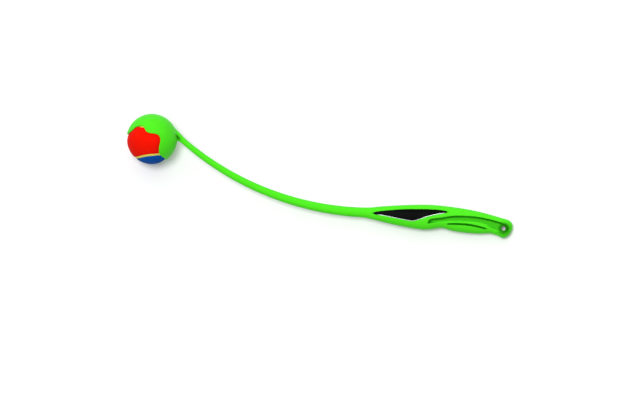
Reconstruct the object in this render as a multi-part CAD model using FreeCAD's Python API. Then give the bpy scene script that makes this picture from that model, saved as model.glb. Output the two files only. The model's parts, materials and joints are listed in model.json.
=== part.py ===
import FreeCAD, Part

import math
import os

from BOPTools import SplitAPI

# A hand-held launcher stick for a dog's ball: one springy plastic moulding with a cup that
# grips the ball at one end and a shaped grip at the other, a label inlaid in each face of
# the grip, and the felt-covered rubber ball.
#
# The moulding is drawn in its own frame: the ball's centre is the origin, X runs to the hang
# hole in the grip's tail, Y lies in the plane that the stick swings in, and Z is square to
# that plane. The stick is laid down on its side at the end, as it lies on a floor.
# Sizes are in millimetres and angles in degrees.

Vector = FreeCAD.Vector

# Ball
ball_radius = 32.5
felt_thickness = 3.0
core_wall = 3.5
seam_width = 4.0
seam_sink = 0.4
seam_curl = 0.2
ball_turn = (-117.0, -175.1, 179.7)

# Cup
ball_clearance = 0.3
cup_wall = 2.0
opening_heading = -108.8
claw_reach = 22.0
claw_root_depth = 3.6
back_claw_half_angle = 67.5
front_claw_half_angle = 38.0
side_cut_depth = 16.0
side_bump_depth = 8.0

# Shaft
shaft_bend_radius = 400.0
shaft_length = 279.0
shaft_offset = 28.0
bend_centre_heading = 58.7
neck_width = 7.6
neck_thickness = 10.0
shaft_end_width = 13.6
shaft_end_thickness = 14.0
neck_flare_width = 1.2
neck_flare_thickness = 2.0
neck_flare_length = 18.0
neck_web_thickness = 4.0

# Grip
grip_length = 209.6
grip_belly_thickness = 23.0
grip_tail_thickness = 18.0
nose_length = 14.0
nose_squareness = 2.0
nose_lift = 2.6
section_squareness = 2.5
label_depth = 0.9
label_sink = 0.1
recess_depth = 3.0
slot_depth = 3.6
slot_width = 2.2
hang_hole_radius = 3.5

# The two sides of the pocket in the neck. Each point is a distance along the shaft and one across it.
pocket_top = [(0.4, -0.6), (2.0, -0.4), (4.6, -0.5), (7.4, -1.1)]
pocket_bottom = [
    (7.4, -1.1), (5.4, -2.3), (3.5, -3.4), (1.9, -3.1), (0.9, -1.9), (0.4, -0.6),
]

# Heights of the grip's outlines above the line that carries on straight from the shaft.
# Each point is a share of the grip's length and a height.
grip_top = [
    (0.0, 6.8), (0.06, 7.4), (0.14, 9.7), (0.26, 12.4), (0.4, 14.6), (0.5, 14.8), (0.62, 13.1),
    (0.74, 10.1), (0.85, 5.5), (0.93, 1.3), (1.0, -3.6),
]
grip_bottom = [
    (0.0, -6.8), (0.06, -8.2), (0.14, -11.4), (0.26, -15.9), (0.4, -19.5), (0.46, -18.7),
    (0.535, -16.1), (0.6, -19.0), (0.68, -20.8), (0.78, -21.4), (0.855, -20.4), (0.91, -23.3),
    (0.945, -26.1), (1.0, -22.5),
]
label_top = [
    (0.066, -0.3), (0.085, 1.2), (0.12, 2.9), (0.18, 4.8), (0.26, 6.9), (0.34, 8.1),
    (0.43, 8.9), (0.5, 8.8), (0.555, 7.7), (0.577, 6.3),
]
label_bottom = [
    (0.577, 6.3), (0.545, 4.2), (0.5, 2.3), (0.46, 0.1), (0.42, -2.8), (0.38, -6.2),
    (0.345, -8.4), (0.31, -8.1), (0.25, -6.4), (0.18, -4.1), (0.12, -2.5), (0.085, -1.7),
    (0.066, -0.3),
]
recess_top = [
    (0.447, -10.6), (0.45, -6.4), (0.5, -2.6), (0.59, 1.1), (0.69, 2.35), (0.78, 1.5),
    (0.87, -1.7), (0.94, -6.0), (0.974, -11.5), (0.955, -18.2),
]
recess_bottom = [
    (0.955, -18.2), (0.915, -17.8), (0.865, -14.6), (0.825, -9.9), (0.76, -6.9), (0.66, -6.2),
    (0.56, -7.5), (0.447, -10.6),
]
slot_line = [(0.572, -10.2), (0.63, -9.5), (0.69, -9.7), (0.76, -11.3), (0.822, -13.9)]
hang_hole_at = (0.94, -12.5)

# How finely the curves are made, and how far the blocks and faces that cut reach
section_points = 16
seam_points = 48
ribbon_lengths = 12
ribbon_margin = 0.2
buried_share = 0.45
flare_steps = (0.0, 0.4, 0.8, 1.4, 2.2, 3.2)
shaft_steps = 6
grip_steps = 16
nose_steps = (0.45, 0.75, 0.92, 0.985)
block_start = 1.0
block_end = 61.0
bowl_seam_azimuth = 25.0
wall_probe_gap = 0.05

# What follows from the sizes above
cup_inner_radius = ball_radius + ball_clearance
cup_outer_radius = cup_inner_radius + cup_wall
core_radius = ball_radius - felt_thickness


def heading(angle):
    """The unit vector in the swing plane at this angle from X."""
    turn = math.radians(angle)
    return Vector(math.cos(turn), math.sin(turn), 0)


centre = Vector(0, 0, 0)
upright = Vector(0, 0, 1)
opening = heading(opening_heading)
cup_side = heading(opening_heading + 90)
bend_centre = heading(bend_centre_heading) * (shaft_bend_radius + shaft_offset)


def height_at(outline, share):
    """The height of an outline at a share of the length, on smooth curves between its points."""
    slopes = []
    for index in range(len(outline)):
        before = outline[max(index - 1, 0)]
        after = outline[min(index + 1, len(outline) - 1)]
        slopes.append((after[1] - before[1]) / (after[0] - before[0]))
    for index in range(len(outline) - 1):
        (left, low), (right, high) = outline[index], outline[index + 1]
        if share <= right:
            break
    gap = right - left
    t = (share - left) / gap
    return (
        (2 * t**3 - 3 * t**2 + 1) * low
        + (t**3 - 2 * t**2 + t) * gap * slopes[index]
        + (3 * t**2 - 2 * t**3) * high
        + (t**3 - t**2) * gap * slopes[index + 1]
    )


def spline(points):
    """One edge on a smooth curve through the points."""
    curve = Part.BSplineCurve()
    curve.interpolate(Points=points)
    return curve.toShape()


def oval_ring(middle, across, half_width, half_thickness):
    """A closed rounded section. Its width runs in the direction across, and its thickness along Z."""
    points = []
    for index in range(section_points):
        turn = 2 * math.pi * index / section_points
        wide = math.copysign(abs(math.cos(turn)) ** (2 / section_squareness), math.cos(turn))
        thick = math.copysign(abs(math.sin(turn)) ** (2 / section_squareness), math.sin(turn))
        points.append(middle + across * (half_width * wide) + upright * (half_thickness * thick))
    curve = Part.BSplineCurve()
    steps = [index / section_points for index in range(section_points + 1)]
    curve.interpolate(Points=points, PeriodicFlag=True, Parameters=steps)
    return Part.Wire(curve.toShape())


def cut_out(solid, tools, point):
    """The piece that holds the point, after the tool faces cut the solid up."""
    pieces = SplitAPI.slice(solid, tools, "Split").Solids
    return next(piece for piece in pieces if piece.isInside(point, 0.001, True))


def hollow_ball(outer, inner, pole, start):
    """A spherical shell about the ball's centre. Its poles and its seam line are set by two directions."""
    turn = FreeCAD.Rotation(start, upright.cross(start), pole, "ZXY")
    spheres = []
    for radius in (outer, inner):
        sphere = Part.makeSphere(radius)
        sphere.Placement = FreeCAD.Placement(centre, turn)
        spheres.append(sphere)
    return spheres[0].cut(spheres[1])


def ribbon_through(directions, inner, outer):
    """The closed ribbon of surface straight out from the ball's centre through these directions."""
    curve = Part.BSplineCurve()
    curve.interpolate(Points=directions, PeriodicFlag=True)
    first, last = curve.FirstParameter, curve.LastParameter
    faces = []
    for index in range(ribbon_lengths):
        ends = [first + (last - first) * step / ribbon_lengths for step in (index, index + 1)]
        stretch = curve.copy()
        stretch.segment(*ends)
        edges = []
        for radius in (inner * (1 - ribbon_margin), outer * (1 + ribbon_margin)):
            scaled = stretch.copy()
            scaled.scale(centre, radius)
            edges.append(scaled.toShape())
        faces.append(Part.makeRuledSurface(edges[0], edges[1]))
    return Part.makeShell(faces)


def cup_direction(azimuth, latitude):
    """A unit vector from the cup's centre.

    Azimuth 0 is the shaft's side, and latitude 90 is the opening's axis.
    """
    around, up = math.radians(azimuth), math.radians(latitude)
    flat = cup_side * math.cos(around) + upright * math.sin(around)
    return flat * math.cos(up) + opening * math.sin(up)


def rim_directions():
    """The cup's rim: a wide claw behind, a narrow one in front and a cut-out in each side."""
    back, front = back_claw_half_angle, 180 - front_claw_half_angle
    half = [
        (0, claw_reach),
        (back * 0.45, claw_reach),
        (back * 0.8, claw_reach - 3),
        (back * 0.95, claw_reach / 2),
        (back + 2, 1),
        (back + 6, -side_cut_depth * 0.5),
        (back + 14, -side_cut_depth * 0.95),
        (back + 24, -side_cut_depth * 0.9),
        (back + 36, -side_bump_depth * 1.1),
        (front - 30, -side_bump_depth * 0.9),
        (front - 15, -side_cut_depth * 0.82),
        (front, -side_cut_depth * 0.42),
        (front + 5, -side_cut_depth * 0.1),
        (front + 10, claw_reach * 0.36),
        (front + 18, claw_reach * 0.7),
        (180, claw_reach),
    ]
    mirrored = [(-azimuth, latitude) for azimuth, latitude in half[-2:0:-1]]
    return [cup_direction(azimuth, latitude) for azimuth, latitude in half + mirrored]


def make_cup():
    """The bowl, and the two claws that reach past the ball's middle and flex when the ball passes."""
    shell = hollow_ball(cup_outer_radius, cup_inner_radius, opening, cup_direction(bowl_seam_azimuth, 0))
    rim = ribbon_through(rim_directions(), cup_inner_radius, cup_outer_radius)
    root_circle = Part.makeCircle(2 * cup_outer_radius, -opening * claw_root_depth, opening)
    root = Part.Face(Part.Wire(root_circle))
    middle = (cup_inner_radius + cup_outer_radius) / 2
    inside = {
        "cup_bowl": cup_direction(10, -80) * middle,
        "front_claw": cup_direction(175, 5) * middle,
        "back_claw": cup_direction(5, 5) * middle,
    }
    return {name: cut_out(shell, [rim, root], point) for name, point in inside.items()}


def shaft_heading(along):
    """The direction in which the shaft runs, this far along it from the cup's outside."""
    reach = shaft_bend_radius + shaft_offset
    drop = (reach**2 + cup_outer_radius**2 - shaft_bend_radius**2) / (2 * reach)
    turn = math.atan2(math.sqrt(cup_outer_radius**2 - drop**2), reach - drop)
    return bend_centre_heading - 90 + math.degrees(turn + along / shaft_bend_radius)


def shaft_point(along):
    """The middle of the shaft, this far along it from the cup's outside."""
    return bend_centre - heading(shaft_heading(along) + 90) * shaft_bend_radius


def shaft_half_sizes(along):
    """Half the shaft's width and half its thickness, with the flare where it grows out of the cup."""
    share = along / shaft_length
    flare = min(1.0, max(0.0, 1 - along / neck_flare_length)) ** 2
    width = neck_width + (shaft_end_width - neck_width) * share + 2 * neck_flare_width * flare
    thickness = neck_thickness + (shaft_end_thickness - neck_thickness) * share
    return width / 2, thickness / 2 + neck_flare_thickness * flare


def neck_pocket():
    """The block that is cut out of one face of the neck, down to the web in the shaft's middle."""
    edges = []
    for outline in (pocket_top, pocket_bottom):
        points = []
        for along, aside in outline:
            across = heading(shaft_heading(along) + 90)
            points.append(shaft_point(along) + across * aside + upright * (neck_web_thickness / 2))
        edges.append(spline(points))
    face = Part.Face(Part.Wire(Part.__sortEdges__(edges)))
    return face.extrude(upright * block_end)


def make_shaft():
    """The long curved shaft, thin at the neck, which meets the bowl all over its end."""
    inside = -buried_share * cup_outer_radius
    stations = [inside, inside / 2] + [step * neck_flare_length for step in flare_steps]
    rest = shaft_length - stations[-1]
    stations += [stations[-1] + rest * step / shaft_steps for step in range(1, shaft_steps + 1)]
    rings = []
    for along in stations:
        across = heading(shaft_heading(along) + 90)
        rings.append(oval_ring(shaft_point(along), across, *shaft_half_sizes(along)))
    shaft = Part.makeLoft(rings, True, False).cut(Part.makeSphere(cup_outer_radius))
    pocket = neck_pocket()
    return shaft.cut(pocket).cut(pocket.mirror(centre, upright))


def grip_point(share, height, up=0.0):
    """A point of the grip, from its share of the grip's length and its height above the grip's line."""
    forward = heading(shaft_heading(shaft_length))
    across = heading(shaft_heading(shaft_length) + 90)
    return shaft_point(shaft_length) + forward * (share * grip_length) + across * height + upright * up


def grip_half_thickness(share):
    """Half the grip's thickness, from the shaft's through the belly's to the tail's."""
    start, belly, tail = shaft_end_thickness / 2, grip_belly_thickness / 2, grip_tail_thickness / 2
    rising = start + 0.35 * (belly - start)
    return height_at([(0.0, start), (0.12, rising), (0.36, belly), (0.66, belly), (1.0, tail)], share)


def make_grip_body():
    """The grip before its recesses: rounded sections from the shaft's end to a rounded nose."""
    across = heading(shaft_heading(shaft_length) + 90)
    nose_start = 1 - nose_length / grip_length
    rings = [oval_ring(shaft_point(shaft_length), across, *shaft_half_sizes(shaft_length))]
    for step in (0.5, *range(1, grip_steps + 1)):
        share = nose_start * step / grip_steps
        top, bottom = height_at(grip_top, share), height_at(grip_bottom, share)
        middle = grip_point(share, (top + bottom) / 2)
        rings.append(oval_ring(middle, across, (top - bottom) / 2, grip_half_thickness(share)))
    for step in nose_steps:
        shrink = (1 - step**nose_squareness) ** (1 / nose_squareness)
        height = (top + bottom) / 2 + nose_lift * step**3
        middle = grip_point(nose_start + step * (1 - nose_start), height)
        half_thickness = grip_half_thickness(nose_start) * shrink
        rings.append(oval_ring(middle, across, (top - bottom) / 2 * shrink, half_thickness))
    return Part.makeLoft(rings, True, False)


def standing_block(outlines):
    """A straight block with this outline, from above the grip's middle plane to well clear of its face."""
    edges = [spline([grip_point(*point, block_start) for point in outline]) for outline in outlines]
    face = Part.Face(Part.Wire(Part.__sortEdges__(edges)))
    return face.extrude(upright * (block_end - block_start))


def slot_outlines():
    """The two sides of a long narrow groove with pointed ends that follows the slot's line."""
    last = len(slot_line) - 1
    sides = []
    for side in (1, -1):
        points = []
        for index, (share, height) in enumerate(slot_line):
            swell = math.sqrt(1 - (2 * index / last - 1) ** 2)
            points.append((share, height + side * swell * slot_width / 2))
        sides.append(points)
    return sides


def make_grip():
    """The grip with the sunk features of its two faces and its hang hole, and the two labels."""
    body = make_grip_body()
    grip = body
    down = Vector(0, 0, -1)
    features = [
        ([label_top, label_bottom], label_depth),
        ([recess_top, recess_bottom], recess_depth),
        (slot_outlines(), slot_depth),
    ]
    for outlines, depth in features:
        pocket = standing_block(outlines).cut(body.translated(down * depth))
        grip = grip.cut(pocket).cut(pocket.mirror(centre, upright))
    drill = Part.makeCylinder(hang_hole_radius, 2 * block_end, grip_point(*hang_hole_at, -block_end))
    grip = grip.cut(drill)
    block = standing_block([label_top, label_bottom])
    label = block.cut(body.translated(down * label_depth)).common(body.translated(down * label_sink))
    return {"grip": grip, "label_front": label, "label_back": label.mirror(centre, upright)}


def seam_point(turn):
    """A point, on a ball of radius 1, of the one closed line along which the two felt panels meet."""
    wide = 1 - seam_curl
    x = wide * math.cos(turn) + seam_curl * math.cos(3 * turn)
    y = wide * math.sin(turn) - seam_curl * math.sin(3 * turn)
    return Vector(x, y, 2 * math.sqrt(wide * seam_curl) * math.sin(2 * turn))


def seam_side(side):
    """The edge of the seam on one side, as directions from the ball's centre."""
    directions = []
    step = 2 * math.pi / seam_points
    for index in range(seam_points):
        here = seam_point(index * step)
        ahead = seam_point((index + 0.1) * step) - seam_point((index - 0.1) * step)
        sideways = here.cross(ahead).normalize()
        directions.append((here + sideways * (side * seam_width / 2 / ball_radius)).normalize())
    return directions


def make_ball():
    """A hollow rubber core in two bonded halves, two interlocking felt panels and the rubber seam."""
    corner = Vector(1, 1, 0).normalize()
    cover = hollow_ball(ball_radius, core_radius, upright, corner)
    sunk_cover = hollow_ball(ball_radius - seam_sink, core_radius, upright, corner)
    cuts = [ribbon_through(seam_side(side), core_radius, ball_radius) for side in (1, -1)]
    middle = core_radius + (felt_thickness - seam_sink) / 2
    pieces = {
        "felt_orange": cut_out(cover, cuts, Vector(1, -1, 0).normalize() * middle),
        "felt_blue": cut_out(cover, cuts, corner * middle),
        "ball_seam": cut_out(sunk_cover, cuts, seam_point(0.3) * middle),
    }
    for name, low, high in (("core_half_a", 0, 90), ("core_half_b", -90, 0)):
        outside = Part.makeSphere(core_radius, centre, upright, low, high, 360)
        pieces[name] = outside.cut(Part.makeSphere(core_radius - core_wall))
    turn = FreeCAD.Placement(centre, FreeCAD.Rotation(*ball_turn))
    return {name: moved(piece, turn) for name, piece in pieces.items()}


def moved(shape, placement):
    copy = shape.copy()
    copy.Placement = placement.multiply(copy.Placement)
    return copy


def tight_box(shape):
    return shape.optimalBoundingBox(False, False)


def lying_placement(pieces):
    """Tips the stick until its cup and its grip both touch the floor, with the origin under its middle."""
    tilt = 0.0
    lever = grip_point(*hang_hole_at).x
    for _ in range(5):
        tip = FreeCAD.Placement(centre, FreeCAD.Rotation(Vector(0, 1, 0), tilt))
        cup_low = tight_box(moved(pieces["cup_bowl"], tip)).ZMin
        grip_low = tight_box(moved(pieces["grip"], tip)).ZMin
        tilt += math.degrees((grip_low - cup_low) / lever)
    tip = FreeCAD.Placement(centre, FreeCAD.Rotation(Vector(0, 1, 0), tilt))
    box = tight_box(moved(Part.makeCompound(list(pieces.values())), tip))
    tip.Base = Vector(-(box.XMin + box.XMax) / 2, -(box.YMin + box.YMax) / 2, -box.ZMin)
    return tip, tilt


def hang_hole_wall(grip):
    """The length of the hang hole's wall, where its two mouths lie furthest apart."""
    lengths = []
    for eighth in range(8):
        aside = heading(45 * eighth) * (hang_hole_radius + wall_probe_gap)
        start, end = (grip_point(*hang_hole_at, up) + aside for up in (-block_end, block_end))
        lengths.append(Part.makeLine(start, end).common(grip).Length)
    return max(lengths)


def main():
    os.makedirs("parts", exist_ok=True)
    pieces = {**make_cup(), "shaft": make_shaft(), **make_grip(), **make_ball()}
    lying, tilt = lying_placement(pieces)
    for name, piece in pieces.items():
        moved(piece, lying).exportStep(f"parts/{name}.step")
        print(f"{name}: {len(piece.Solids)} solid, {piece.Volume / 1000:.2f} cm3, valid {piece.isValid()}")
    box = tight_box(moved(Part.makeCompound(list(pieces.values())), lying))
    print(f"tilt {tilt:.3f} degrees, overall {box.XLength:.1f} x {box.YLength:.1f} x {box.ZLength:.1f} mm")
    print("ball centre", lying.multVec(centre))
    print("opening direction", lying.Rotation.multVec(opening))
    print("hang hole centre", lying.multVec(grip_point(*hang_hole_at)))
    print("face direction", lying.Rotation.multVec(upright))
    print(f"wall length of the hang hole {hang_hole_wall(pieces['grip']):.2f} mm")


main()
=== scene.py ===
"""The looks of a ball launcher stick and its felt ball.

The moulding is drawn in its own frame, in millimetres: the ball's centre is the origin, Z is
square to the plane that the stick swings in, and the grip lies on the X side. Two mounts of the
frame, the cup and the hang hole, say how that drawing lies in the room.
"""

import json
import logging
import math
from collections.abc import Callable, Sequence
from dataclasses import dataclass
from enum import Enum

import bmesh
import bpy
import numpy as np
from mathutils import Euler, Matrix, Vector, noise


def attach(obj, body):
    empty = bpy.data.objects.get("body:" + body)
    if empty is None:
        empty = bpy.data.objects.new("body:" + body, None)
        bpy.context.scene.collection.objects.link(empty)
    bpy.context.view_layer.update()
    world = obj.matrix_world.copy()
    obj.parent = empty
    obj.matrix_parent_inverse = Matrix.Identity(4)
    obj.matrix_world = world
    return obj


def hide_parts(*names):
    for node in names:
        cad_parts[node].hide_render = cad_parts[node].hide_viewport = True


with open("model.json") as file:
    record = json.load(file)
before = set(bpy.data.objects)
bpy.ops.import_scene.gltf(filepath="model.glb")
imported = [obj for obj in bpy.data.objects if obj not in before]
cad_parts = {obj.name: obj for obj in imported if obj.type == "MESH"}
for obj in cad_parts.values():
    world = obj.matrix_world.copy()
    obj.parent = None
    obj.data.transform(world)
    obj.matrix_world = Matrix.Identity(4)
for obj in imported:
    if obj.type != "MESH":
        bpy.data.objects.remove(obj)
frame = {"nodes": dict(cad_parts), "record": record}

LOG = logging.getLogger("launcher")
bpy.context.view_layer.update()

# A millimetre in metres, and how near corners are welded, in millimetres
MM = 0.001
WELD = 0.001

Points = Sequence[tuple[float, float]]
Colour = tuple[float, float, float, float]
Place = Callable[[np.ndarray, np.ndarray], np.ndarray]


class Body(Enum):
    """The two bodies of the frame that a piece can ride on."""

    STICK = "stick"
    BALL = "ball"


class Slot(Enum):
    """The record's material slots."""

    MOULDING = "moulding"
    LABEL = "label"
    CORE = "core"
    ORANGE_FELT = "orange_felt"
    BLUE_FELT = "blue_felt"
    SEAM = "seam"


class Face(Enum):
    """The two faces of the stick, by the sign of their Z."""

    FRONT = 1
    BACK = -1


def heading(angle: float) -> Vector:
    """The unit vector in the swing plane at this angle in degrees from X."""
    turn = math.radians(angle)
    return Vector((math.cos(turn), math.sin(turn), 0.0))


def spread(start: float, end: float, count: int) -> np.ndarray:
    """Evenly spaced numbers from start to end, without the start."""
    return np.linspace(start, end, count + 1)[1:]


def smooth_step(values: np.ndarray) -> np.ndarray:
    """An S-shaped rise from 0 to 1 as the values go from 0 to 1."""
    t = np.clip(values, 0.0, 1.0)
    return t * t * (3.0 - 2.0 * t)


def unit(vectors: np.ndarray) -> np.ndarray:
    """Each row of an array at length 1."""
    return vectors / np.linalg.norm(vectors, axis=-1, keepdims=True)


def read_curve(
    at: np.ndarray, knots: np.ndarray, values: np.ndarray, slopes: np.ndarray
) -> np.ndarray:
    """Reads a smooth curve that runs through its knots with given slopes.

    Args:
        at: Where to read it.
        knots: The places of its knots, in order.
        values: The curve's value at each knot, a number or a row of numbers.
        slopes: The curve's slope at each knot.

    Returns:
        One value for each place.
    """
    index = np.clip(np.searchsorted(knots, at, side="right") - 1, 0, len(knots) - 2)
    column = (-1,) + (1,) * (values.ndim - 1)
    gap = (knots[index + 1] - knots[index]).reshape(column)
    t = (at - knots[index]).reshape(column) / gap
    return (
        (2 * t**3 - 3 * t**2 + 1) * values[index]
        + (t**3 - 2 * t**2 + t) * gap * slopes[index]
        + (3 * t**2 - 2 * t**3) * values[index + 1]
        + (t**3 - t**2) * gap * slopes[index + 1]
    )


def heights_at(outline: Points, shares: np.ndarray) -> np.ndarray:
    """The heights of an outline at shares of the length, on smooth curves between its points.

    Args:
        outline: Points of share and height, in order of share. The curve starts level.
        shares: Where to read the outline.

    Returns:
        One height for each share.
    """
    x, y = np.array(outline).T
    slopes = np.zeros_like(y)
    slopes[1:-1] = (y[2:] - y[:-2]) / (x[2:] - x[:-2])
    slopes[-1] = (y[-1] - y[-2]) / (x[-1] - x[-2])
    return read_curve(shares, x, y, slopes)


@dataclass(frozen=True)
class Fade:
    """A soft edge: how an effect grows with the distance inside a line.

    Attributes:
        start: The distance at which it starts, negative outside the line.
        end: The distance at which it is full, on either side of start.
    """

    start: float
    end: float

    def at(self, distances: np.ndarray) -> np.ndarray:
        """How strong the effect is at these distances, from 0 to 1."""
        return smooth_step((distances - self.start) / (self.end - self.start))


@dataclass(frozen=True)
class SmoothLine:
    """A curve through a few points that bends evenly, like a drawing spline.

    Attributes:
        points: The points, in two or three numbers each.
        closed: Whether the curve runs back to its first point.
    """

    points: Sequence[Sequence[float]]
    closed: bool = False

    def sample(self, count: int) -> np.ndarray:
        """Points on the curve at even steps.

        Args:
            count: How many points. A closed curve doesn't repeat its first.

        Returns:
            The points as rows.
        """
        p = np.array(self.points, float)
        if self.closed:
            p = np.vstack([p, p[:1]])
        t = np.concatenate([[0.0], np.cumsum(np.linalg.norm(np.diff(p, axis=0), axis=1))])
        at = np.linspace(0.0, t[-1], count, endpoint=not self.closed)
        return read_curve(at, t, p, self._slopes(t, p))

    def _slopes(self, t: np.ndarray, p: np.ndarray) -> np.ndarray:
        """The curve's slope at each point, from the rule that its bending has no jumps.

        At an open end, the slope is that of a cubic through the four nearest points.

        Args:
            t: The length along the straight runs at each point.
            p: The points, the first again at the end if the curve is closed.

        Returns:
            One slope for each point.
        """
        last = len(t) - 1
        gaps, runs = np.diff(t), np.diff(p, axis=0)
        rows, right = np.zeros((last + 1, last + 1)), np.zeros_like(p)
        for i in range(last + 1):
            if 0 < i < last or (self.closed and i == 0):
                before, after = gaps[i - 1], gaps[i]
                left = i - 1 if i else last - 1
                rows[i, left] += after
                rows[i, i] += 2 * (before + after)
                rows[i, i + 1] += before
                right[i] = 3 * (after / before * runs[i - 1] + before / after * runs[i])
            elif self.closed:
                rows[i, 0], rows[i, i] = -1.0, 1.0
            else:
                near = slice(0, 4) if i == 0 else slice(last - 3, last + 1)
                rows[i, i] = 1.0
                right[i] = np.polyfit(t[near] - t[i], p[near], 3)[-2]
        return np.linalg.solve(rows, right)


@dataclass(frozen=True)
class Outline:
    """A closed flat outline of smooth lines that meet at corners.

    Attributes:
        lines: Its lines, in order round it.
        steps: How many points each line is measured with.
        margin: Points that are further out than this count as this far out.
        batch: How many points are measured at once.
    """

    lines: Sequence[SmoothLine]
    steps: int = 90
    margin: float = 3.0
    batch: int = 4000

    def depths(self, points: np.ndarray) -> np.ndarray:
        """How far inside each line of the outline the points lie.

        Args:
            points: The points, as rows of two numbers.

        Returns:
            A row for each line, with each point's distance to it, negative outside the outline.
        """
        runs = [line.sample(self.steps) for line in self.lines]
        start = np.vstack([run[:-1] for run in runs])
        step = np.vstack([np.diff(run, axis=0) for run in runs])
        lowest, highest = start.min(0) - self.margin, start.max(0) + self.margin
        near = ((points > lowest) & (points < highest)).all(1)
        found = np.full((len(runs), len(points)), -self.margin)
        for part in np.array_split(np.flatnonzero(near), max(1, near.sum() // self.batch)):
            away = points[part][:, None] - start
            along = np.clip((away * step).sum(2) / (step**2).sum(1), 0.0, 1.0)
            distance = np.linalg.norm(away - along[..., None] * step, axis=2)
            crosses = (away[..., 1] < 0) != (away[..., 1] < step[:, 1])
            side = step[:, 0] * away[..., 1] / np.where(step[:, 1] == 0, 1.0, step[:, 1])
            inside = (crosses & (away[..., 0] < side)).sum(1) % 2 == 1
            each = distance.reshape(len(part), len(runs), -1).min(2).T
            found[:, part] = np.where(inside, each, -each)
        return found


def mark(bm: bmesh.types.BMesh, name: str, levels: np.ndarray) -> None:
    """Stores a number from 0 to 1 on each corner, for a finish to read by this name."""
    layer = bm.verts.layers.float.new(name)
    for vert, level in zip(bm.verts, levels):
        vert[layer] = level


def places(bm: bmesh.types.BMesh) -> np.ndarray:
    """The places of a shape's corners, as rows."""
    return np.array([vert.co for vert in bm.verts])


def bent_sheet(columns: int, rows: int, place: Place) -> bmesh.types.BMesh:
    """A sheet of quads bent to a shape and welded where its edges meet.

    Args:
        columns: How many quads go across the sheet.
        rows: How many quads go up the sheet.
        place: Takes two arrays, the share of the way across and of the way up of each
            corner, and returns the corners' places as rows.

    Returns:
        The sheet.
    """
    bm = bmesh.new()
    bmesh.ops.create_grid(bm, x_segments=columns, y_segments=rows, size=0.5)
    flat = np.array([vert.co for vert in bm.verts]) + 0.5
    for vert, point in zip(bm.verts, place(flat[:, 0], flat[:, 1])):
        vert.co = point
    bmesh.ops.remove_doubles(bm, verts=bm.verts[:], dist=WELD)
    return bm


def round_sheet(rows: Sequence[np.ndarray]) -> bmesh.types.BMesh:
    """A sheet through rows of points, each row closed to a ring.

    Args:
        rows: The rows, with as many points in each.

    Returns:
        The sheet.
    """
    table = np.stack(rows)
    table = np.concatenate([table, table[:, :1]], axis=1)
    last_row, last_column = table.shape[0] - 1, table.shape[1] - 1

    def place(u: np.ndarray, v: np.ndarray) -> np.ndarray:
        """The point of the table for shares of the way round and up."""
        row, column = np.rint(v * last_row).astype(int), np.rint(u * last_column).astype(int)
        return table[row, column]

    return bent_sheet(last_column, last_row, place)


# Materials

Number = "Signal | float"


class Signal:
    """A number that changes over a surface, written as an expression.

    Attributes:
        nodes: The material that the number is worked out in.
        socket: The socket that gives it.
    """

    def __init__(self, nodes: "Nodes", socket: bpy.types.NodeSocket) -> None:
        """Wraps a socket of a material."""
        self.nodes = nodes
        self.socket = socket

    def _math(self, operation: str, *values: Number) -> "Signal":
        """One Math node of this operation on these values."""
        inputs = dict(enumerate(values))
        return self.nodes.add("ShaderNodeMath", {"operation": operation}, inputs)

    def __add__(self, other: Number) -> "Signal":
        """self + other"""
        return self._math("ADD", self, other)

    def __radd__(self, other: Number) -> "Signal":
        """other + self"""
        return self._math("ADD", other, self)

    def __sub__(self, other: Number) -> "Signal":
        """self - other"""
        return self._math("SUBTRACT", self, other)

    def __rsub__(self, other: Number) -> "Signal":
        """other - self"""
        return self._math("SUBTRACT", other, self)

    def __mul__(self, other: Number) -> "Signal":
        """self * other"""
        return self._math("MULTIPLY", self, other)

    def __rmul__(self, other: Number) -> "Signal":
        """other * self"""
        return self._math("MULTIPLY", other, self)

    def __truediv__(self, other: Number) -> "Signal":
        """self / other"""
        return self._math("DIVIDE", self, other)

    def __abs__(self) -> "Signal":
        """The number without its sign."""
        return self._math("ABSOLUTE", self)

    def rise(self, start: float, end: float) -> "Signal":
        """A smooth rise from 0 to 1 as the number goes from start to end."""
        settings = {"interpolation_type": "SMOOTHSTEP"}
        inputs = {"Value": self, "From Min": start, "From Max": end}
        return self.nodes.add("ShaderNodeMapRange", settings, inputs)


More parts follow.
